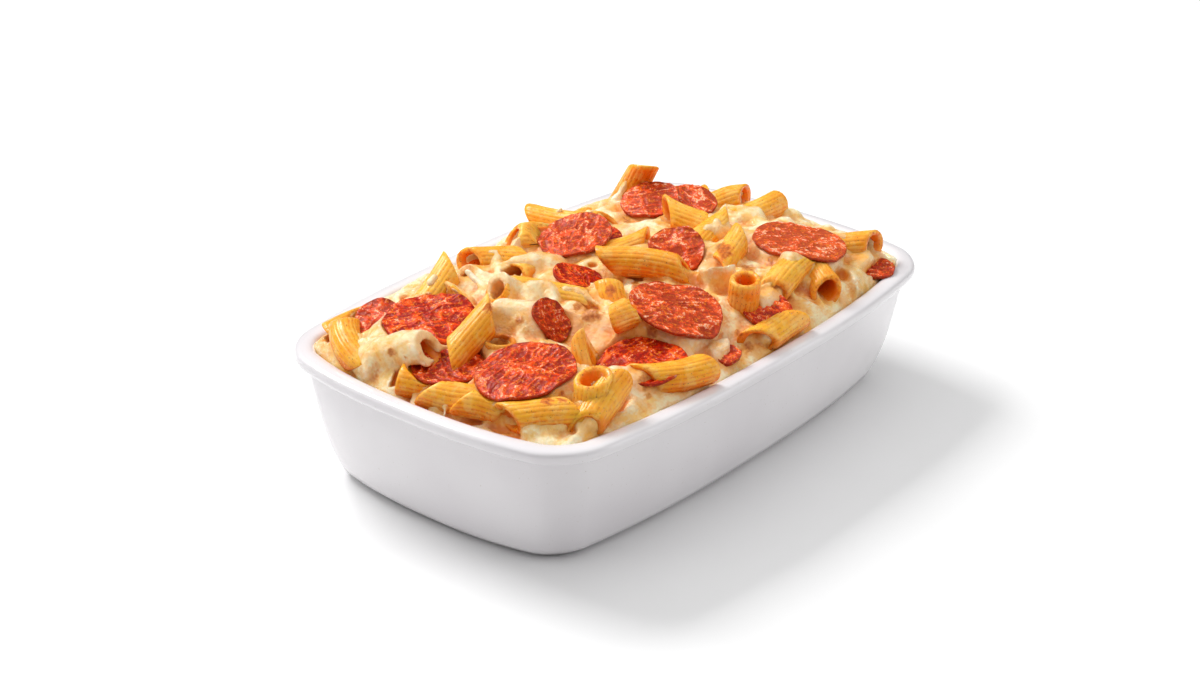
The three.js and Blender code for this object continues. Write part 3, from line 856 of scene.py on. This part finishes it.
def cheese_field(tubes, slices):
    field = Field()
    rng = np.random.default_rng(12)
    add_rods(field, BURIED, rng)
    add_rods(field, LUMPS, rng)
    add_pits(field, rng)
    add_strings(field, tubes, rng)
    for one in slices:
        field.cut(*one.span(12), one.above, 1.0)
        field.join(*one.span(6), one.bed, 3.0)
        if one.covered:
            field.join(*one.span(6), one.blanket, 1.6)
    for tube in tubes:
        if tube.cover < COAT["hides"]:
            field.join(*tube_span(tube, 6), tube_distance(tube), COAT["blend"])
    x, y, z = np.meshgrid(*field.axes, indexing="ij")
    # By the wall the cheese comes up no higher than the rim, and rises from there.
    end, side = inside_limits(x, y, z, FIT_GAP)
    outside = np.maximum(np.abs(x) - end, np.abs(y) - side)
    uneven = SHORE["level"] + SHORE["uneven"] * noise(x, y, 0, 9.0, 8)
    shore = DISH_HEIGHT + uneven - SHORE["slope"] * outside
    field.values = -smooth_union(-field.values, (shore - z) * 0.7, 1.5)
    for tube in tubes:
        if tube.cover >= COAT["hides"]:
            field.join(*tube_span(tube, 6), tube_distance(tube), COAT["blend"])
        ends = tube.placed(np.array([[tube.far - PLUG["deep"], 0, 0], [tube.far - PLUG["in"], 0, 0]]))
        field.join(*capsule(*ends, PLUG["radius"]), PLUG["blend"])
    add_drapes(field)
    field.values += 0.36 * noise(x, y, z, 5.0, 6) + 0.30 * noise(x, y, z, 2.4, 7)
    for one in slices:
        field.cut(*one.span(3), one.room, 0.5)
    for tube in tubes:
        if tube.cover < SEALED:
            field.cut(*tube_span(tube, 5), hole_distance(tube), HOLE["blend"])
    field.values = np.maximum(field.values, outside)
    return field


def blurred(values, reach):
    """A grid averaged over cubes of so many cells to each side."""
    for axis in range(3):
        width = [(0, 0)] * 3
        width[axis] = (reach + 1, reach)
        total = np.cumsum(np.pad(values, width, mode="edge"), axis=axis)
        total = np.moveaxis(total, axis, 0)
        span = 2 * reach + 1
        values = np.moveaxis((total[span:] - total[:-span]) / span, 0, axis)
    return values


def make_cheese(tubes, slices, material):
    distances = np.clip(cheese_field(tubes, slices).values, -4, 4)
    grid = openvdb.FloatGrid(5.0)
    grid.copyFromArray(np.pad(distances, 1, constant_values=4.0).astype(np.float32))
    points, triangles, quads = grid.convertToPolygons(isovalue=0.0, adaptivity=0.0)
    faces = [part[:, ::-1] for part in (triangles, quads) if len(part)]
    piece = make_piece("cheese", points * VOXEL + GRID_LOW - VOXEL, faces, material)
    thin_out(piece, CHEESE_TRIANGLES)
    points = read_vertices(piece.data, "co") / MM
    x, y, z = points.T
    # On a bump the cheese round about is mostly below, and in a hollow mostly above.
    around = blurred(distances, 4)
    cells = np.rint((points - GRID_LOW) / VOXEL).astype(int)
    cells = np.clip(cells, 0, np.array(around.shape) - 1)
    bump = around[tuple(cells.T)]
    # Painted shade: how low and how hollow each point lies, for a deeper orange there.
    low = smoothstep(0.5, 4.5, ground_height(x, y) + 0.8 - z) * smoothstep(3.0, 10.0, off_wall(x, y))
    hollow = np.clip(0.5 * low + smoothstep(0.15, -0.75, bump), 0, 1)
    oily = np.zeros(len(points))
    for one in slices:
        u, v, w = one.flat(x, y, z)
        apart = np.hypot(np.maximum(np.hypot(u, v) - one.radius, 0), w)
        oily = np.maximum(oily, smoothstep(5.0, 0.5, apart))
    film = np.zeros(len(points))
    for tube in tubes:
        along, aside, up = tube.straight(x, y, z)
        apart = shared(np.hypot(aside, up) - PENNE["radius"], -along, along - tube.length)
        film = np.maximum(film, smoothstep(1.7, 0.3, apart))
    # Painted highlight: how far each point lies on a bump, for a paler cream there.
    crest = smoothstep(0.2, 1.1, bump)
    values = {"toast": toasted(points), "hollow": hollow, "oily": oily, "crest": crest, "film": film}
    add_values(piece.data, values)
    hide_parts("pasta_heap")


def thin_out(piece, triangles):
    """Merges a piece's flattest faces until it has so many triangles."""
    mesh = piece.data
    now = sum(len(polygon.vertices) - 2 for polygon in mesh.polygons)
    collapse = piece.modifiers.new("thin_out", "DECIMATE")
    collapse.ratio = min(1.0, triangles / now)
    made = bpy.data.meshes.new_from_object(piece.evaluated_get(bpy.context.evaluated_depsgraph_get()))
    piece.modifiers.clear()
    piece.data = made
    made.name = piece.name
    bpy.data.meshes.remove(mesh)
    made.shade_smooth()


# ---- Pepperoni ----------------------------------------------------------------------------------
def wrinkles(one, u, v):
    """The wrinkles of a slice's face, from 0 in the creases to 1: long folds and short ones."""
    way = one.phase[2]
    along = ahead(u, v, way)
    aside = ahead(v, -u, way) + 1.4 * noise(u, v, 0, 6.0, 160 + one.number)
    long = 1 - np.abs(noise(along * 0.4, aside, 0, 2.6, 100 + one.number))
    short = 1 - np.abs(noise(along * 0.6, aside, 0, 1.5, 120 + one.number))
    return 0.6 * long**2 + 0.4 * short**2


# The waves round a slice's edge, as their number and their share of its radius.
EDGE_WAVES = [(2, 0.022), (3, 0.014), (7, 0.010), (13, 0.006)]
FOLD_DEPTH = 0.9


def make_slice(one, material):
    """A thin baked slice: wavy, with an uneven edge and a wrinkled face."""
    around, outwards = int(one.radius * 12), int(one.radius * 2.4)
    angle = 2 * np.pi * np.arange(around) / around
    edge = 0.985
    phases = np.random.default_rng(500 + one.number).uniform(0, 2 * np.pi, 4)
    for (waves, depth), phase in zip(EDGE_WAVES, phases):
        edge = edge + depth * np.sin(waves * angle + phase)
    half = SLICE_THICKNESS / 2
    # Each ring's share of the way out, and its height from 1 on top to -1 below.
    profile = [(0.012 + 0.968 * i / outwards, 1.0) for i in range(outwards + 1)]
    profile += [(0.992, 0.75), (1.0, 0.25), (1.0, -0.3), (0.99, -0.75), (0.97, -1.0)]
    profile += [(0.85, -1.0), (0.6, -1.0), (0.3, -1.0)]
    rings, folds = [], []
    for share, side in profile:
        u, v = one.radius * edge * share * np.cos(angle), one.radius * edge * share * np.sin(angle)
        fold = wrinkles(one, u, v)
        w = half * side + (FOLD_DEPTH * (fold - 0.5) if side == 1.0 else 0 * fold)
        rings.append(np.stack([u, v, w], axis=1))
        folds.append(fold)
    local, faces = closed(rings, [[0, 0, half], [0, 0, -half]])
    values = {
        "rim": np.append(np.repeat([share for share, _ in profile], around), [0, 0]),
        "fold": np.append(np.concatenate(folds), [0.5, 0.5]),
        "pale": np.full(len(local), one.pale),
    }
    number = f"{one.number + 1:02d}"
    faces = [part[:, ::-1] for part in faces]
    piece = make_piece("slice_" + number, one.laid(local), faces, material, values)
    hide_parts("pepperoni_" + number)


# ---- Materials ----------------------------------------------------------------------------------
def as_light(colour):
    """A colour in light, of one as seen in parts of 255."""
    return [((v / 255 + 0.055) / 1.055) ** 2.4 if v > 10 else v / 255 / 12.92 for v in colour]


class Paint:
    """Short calls that build a shader's nodes. Colours are as seen, in parts of 255."""

    def __init__(self, owner, shader="Principled BSDF", place="Object"):
        owner.use_nodes = True
        self.owner = owner
        self.tree = owner.node_tree
        self.shader = self.tree.nodes[shader]
        self.place = self.node("ShaderNodeTexCoord").outputs[place]

    def node(self, kind, inputs=None, **settings):
        made = self.tree.nodes.new(kind)
        for key, value in settings.items():
            setattr(made, key, value)
        for key, value in (inputs or {}).items():
            self.feed(made.inputs[key], value)
        return made

    def feed(self, socket, value):
        if isinstance(value, bpy.types.NodeSocket):
            self.tree.links.new(value, socket)
        elif socket.type == "RGBA":
            socket.default_value = (*as_light(value), 1.0)
        else:
            socket.default_value = value

    def set(self, **inputs):
        for key, value in inputs.items():
            self.feed(self.shader.inputs[key.replace("_", " ")], value)

    def value(self, name):
        """A value that the mesh holds for its points."""
        return self.node("ShaderNodeAttribute", attribute_name=name).outputs["Fac"]

    def noise(self, size, detail=3.0, roughness=0.5, distortion=0.0):
        """Noise from 0 to 1 with features of so many millimetres."""
        inputs = {"Vector": self.place, "Scale": 1 / (size * MM), "Detail": detail}
        inputs.update({"Roughness": roughness, "Distortion": distortion})
        return self.node("ShaderNodeTexNoise", inputs).outputs["Fac"]

    def cells(self, size):
        """The distance to the nearest of points strewn so many millimetres apart."""
        inputs = {"Vector": self.place, "Scale": 1 / (size * MM)}
        return self.node("ShaderNodeTexVoronoi", inputs).outputs["Distance"]

    def math(self, operation, a, b):
        return self.node("ShaderNodeMath", {0: a, 1: b}, operation=operation).outputs[0]

    def times(self, a, b):
        return self.math("MULTIPLY", a, b)

    def between(self, value, low, high, to_low=0.0, to_high=1.0):
        """A value's place between two others, smoothed and clamped."""
        inputs = {"Value": value, "From Min": low, "From Max": high, "To Min": to_low, "To Max": to_high}
        return self.node("ShaderNodeMapRange", inputs, interpolation_type="SMOOTHSTEP").outputs[0]

    def patches(self, noise, low, high, to_low=0.0, to_high=1.0):
        return self.between(self.noise(*noise), low, high, to_low, to_high)

    def mix(self, share, a, b):
        return self.node("ShaderNodeMix", {0: share, 6: a, 7: b}, data_type="RGBA").outputs[2]

    def tinted(self, tone, *layers):
        """A tone with others over it in turn, each by a share and, where it says, at most so much."""
        for share, other, *most in layers:
            tone = self.mix(self.times(share, *most) if most else share, tone, other)
        return tone

    def toast(self, low, light, dark):
        """The layers of the browned spots, whose edges are ragged."""
        toast = self.math("ADD", self.value("toast"), self.patches((1.4, 3.0), 0.3, 0.7, -0.25, 0.25))
        return (self.between(toast, low, 0.7), light), (self.between(toast, 0.6, 1.3), dark)

    def bump(self, noise, strength, depth):
        inputs = {"Height": self.noise(*noise), "Strength": strength, "Distance": depth * MM}
        return self.node("ShaderNodeBump", inputs).outputs["Normal"]


def glaze_material():
    paint = Paint(bpy.data.materials.new("glaze_white"))
    tone = paint.mix(paint.patches((60.0, 2.0), 0.3, 0.7), (224, 220, 223), (233, 230, 232))
    paint.set(Base_Color=paint.mix(paint.patches((0.9, 1.0), 0.74, 0.78), tone, (214, 208, 206)))
    paint.set(Roughness=paint.patches((14.0, 2.0), 0.2, 0.8, 0.10, 0.17))
    paint.set(Normal=paint.bump((22.0, 1.0), 0.12, 0.5))
    paint.set(Coat_Weight=0.35, Coat_Roughness=0.04, IOR=1.5)
    return paint.owner


def penne_material():
    paint = Paint(bpy.data.materials.new("penne_cooked"))
    gold = paint.mix(paint.patches((7.0, 4.0, 0.6), 0.38, 0.62), (246, 122, 2), (255, 184, 50))
    deep = paint.mix(paint.value("shade"), (252, 128, 2), (255, 176, 36))
    upward, inner = paint.value("upward"), paint.value("inner")
    # Painted shade: darker lines in the grooves between the ridges, broken up.
    line = paint.times(paint.math("SUBTRACT", 1.0, paint.value("ridge")), paint.math("SUBTRACT", 1.0, inner))
    line = paint.times(line, paint.patches((1.8, 4.0, 0.75), 0.46, 0.58))
    herbs = paint.times(paint.between(paint.cells(1.7), 0.17, 0.10), paint.patches((6.0, 2.0), 0.42, 0.56))
    # Painted light and shade: what faces up is painted yellow, and what faces down a deep orange.
    tone = paint.tinted(
        paint.mix(0.5, gold, deep),
        (paint.between(upward, 0.5, -0.1), (240, 108, 2), 0.8),
        (upward, (255, 186, 54), 0.4),
        (paint.patches((5.0, 4.0, 0.7), 0.47, 0.60), (255, 208, 116), 0.45),
        (paint.value("pale"), (255, 208, 96), 0.5),
        (line, (200, 84, 4), 0.6),
        # Painted shade: the inside of the hollow is a deeper orange.
        (inner, (236, 110, 0), 0.85),
        # Painted shade: a deeper orange low down, where the penne sink into the cheese.
        (paint.value("sauce"), (240, 112, 4), 0.5),
        *paint.toast(0.15, (222, 128, 44), (178, 86, 24)),
        (herbs, (120, 62, 20), 0.7),
    )
    paint.set(Base_Color=tone, Roughness=paint.patches((4.0, 2.0), 0.3, 0.7, 0.16, 0.34))
    paint.set(Specular_IOR_Level=0.25, Normal=paint.bump((1.4, 2.0), 0.3, 0.3))
    paint.set(Subsurface_Weight=0.35, Subsurface_Scale=0.004, Subsurface_Radius=(1.0, 0.5, 0.2))
    return paint.owner


def cheese_material():
    paint = Paint(bpy.data.materials.new("cheese_melted"))
    tone = paint.tinted(
        paint.mix(paint.patches((9.0, 4.0, 0.6), 0.38, 0.62), (253, 202, 112), (255, 238, 192)),
        # Painted highlight: a paler cream on the bumps.
        (paint.value("crest"), (255, 243, 212)),
        (paint.patches((11.0, 4.0, 0.65), 0.49, 0.62), (246, 164, 48), 0.5),
        (paint.value("film"), (252, 182, 62), 0.5),
        # Painted shade: a deeper orange in the hollows and low places.
        (paint.value("hollow"), (232, 128, 34), 0.8),
        (paint.value("oily"), (242, 134, 28), 0.4),
        *paint.toast(0.1, (230, 158, 78), (190, 104, 44)),
    )
    paint.set(Base_Color=tone, Roughness=paint.patches((3.0, 3.0), 0.3, 0.7, 0.12, 0.26))
    paint.set(Specular_IOR_Level=0.45, Normal=paint.bump((2.2, 5.0, 0.65, 1.2), 0.9, 0.8))
    paint.set(Subsurface_Weight=0.25, Subsurface_Scale=0.003, Subsurface_Radius=(1.0, 0.6, 0.25))
    return paint.owner


def pepperoni_material():
    paint = Paint(bpy.data.materials.new("pepperoni_baked"))
    pale = paint.value("pale")
    fold = paint.math("ADD", paint.value("fold"), paint.patches((1.3, 4.0, 0.7), 0.3, 0.7, -0.24, 0.24))
    # Fat and painted glints show as thin pale streaks on the crests, with more of them in the paler slices.
    streak = paint.math("ADD", paint.noise(2.0, 4.0, 0.7, 2.0), paint.times(pale, 0.12))
    fat_and_glint = paint.times(paint.between(streak, 0.55, 0.61), paint.between(fold, 0.60, 0.80))
    # Painted shade makes the creases dark, and painted light makes the crests of the wrinkles orange.
    tone = paint.tinted(
        paint.mix(paint.patches((8.0, 3.0, 0.6, 0.8), 0.40, 0.62), (190, 30, 0), (234, 66, 2)),
        (paint.between(fold, 0.52, 0.26), (138, 10, 0), 0.85),
        (paint.between(fold, 0.62, 0.86), (252, 110, 14), 0.8),
        (pale, (244, 130, 70), 0.3),
        (paint.patches((1.5, 4.0, 0.7, 1.0), 0.54, 0.64), (254, 146, 36), 0.6),
        (fat_and_glint, (255, 214, 176), 0.8),
        (paint.between(paint.value("rim"), 0.955, 1.0), (150, 40, 10), 0.6),
    )
    paint.set(Base_Color=tone, Roughness=paint.patches((1.2, 3.0), 0.3, 0.7, 0.10, 0.26))
    paint.set(Specular_IOR_Level=0.16, Normal=paint.bump((1.0, 3.0, 0.6, 1.0), 0.8, 0.35))
    return paint.owner


# ---- Stage --------------------------------------------------------------------------------------
def make_floor():
    paint = Paint(bpy.data.materials.new("floor_pale"))
    paint.set(Base_Color=(240, 240, 240), Roughness=0.6)
    mesh = bpy.data.meshes.new("floor")
    corners = [(-4, -4, 0), (4, -4, 0), (4, 4, 0), (-4, 4, 0)]
    mesh.from_pydata(corners, [], [(0, 1, 2, 3)])
    mesh.materials.append(paint.owner)
    floor = add_object("floor", mesh)


def direction(azimuth, elevation):
    """The way to a place that is seen at an azimuth and an elevation."""
    a, e = math.radians(azimuth), math.radians(elevation)
    return Vector((math.sin(a) * math.cos(e), -math.cos(a) * math.cos(e), math.sin(e)))


def make_light(name, azimuth, elevation, distance, size, watts):
    """A soft light that faces the dish."""
    light = bpy.data.lights.new(name, "AREA")
    light.shape = "RECTANGLE"
    light.size, light.size_y = size
    light.energy = watts
    lamp = add_object(name, light)
    way = direction(azimuth, elevation)
    lamp.location = way * distance + Vector((0, 0, 0.05))
    lamp.rotation_euler = way.to_track_quat("Z", "Y").to_euler()


# Each light's azimuth, elevation, distance and size in metres, and watts.
LIGHTS = {
    "key": (180, 46, 1.4, (0.7, 0.5), 17),
    "left": (-125, 16, 1.6, (0.9, 0.5), 2.5),
    "right": (36, 14, 1.6, (0.9, 0.5), 5),
}
CAMERA = {"azimuth": -50.83, "elevation": 25.35, "roll": 0.5, "distance": 919.5, "lens": 64.48}
CAMERA_TARGET = (53.0, 52.17, 0.0)


def make_camera():
    camera = bpy.data.cameras.new("camera")
    camera.lens = CAMERA["lens"]
    camera.sensor_width = 36
    camera.sensor_fit = "HORIZONTAL"
    camera.clip_start = 0.01
    shooter = add_object("camera", camera)
    back = direction(CAMERA["azimuth"], CAMERA["elevation"])
    right = Vector((0, 0, 1)).cross(back).normalized()
    turned = Matrix((right, back.cross(right), back)).transposed()
    turned = turned @ Matrix.Rotation(math.radians(CAMERA["roll"]), 3, "Z")
    place = (Vector(CAMERA_TARGET) + back * CAMERA["distance"]) * MM
    shooter.matrix_world = Matrix.Translation(place) @ turned.to_4x4()
    bpy.context.scene.camera = shooter


def make_world():
    """Dim round the horizon and bright overhead, which keeps sheen off what lies flat."""
    paint = Paint(bpy.data.worlds.new("studio"), "Background", "Generated")
    up = paint.node("ShaderNodeSeparateXYZ", {0: paint.place}).outputs["Z"]
    paint.set(Color=(255, 255, 255), Strength=paint.between(up, 0.25, 1.1, 0.06, 1.35))
    bpy.context.scene.world = paint.owner


# ---- The scene ----------------------------------------------------------------------------------
tubes = [Tube(place, look, number) for number, (place, look) in enumerate(PENNE_PLACES)]
tubes += [Tube(place, FAR_LOOK, len(tubes) + number) for number, place in enumerate(far_penne_places())]
slices = [Slice(place, look, number) for number, (place, look) in enumerate(SLICE_PLACES)]
for tube in tubes:
    tube.lay_under(slices)

make_dish(glaze_material())
make_penne(tubes, penne_material())
make_cheese(tubes, slices, cheese_material())
salami = pepperoni_material()
for one in slices:
    make_slice(one, salami)

make_floor()
make_world()
make_camera()
for name, light in LIGHTS.items():
    make_light(name, *light)
bpy.context.scene.view_settings.view_transform = "Standard"
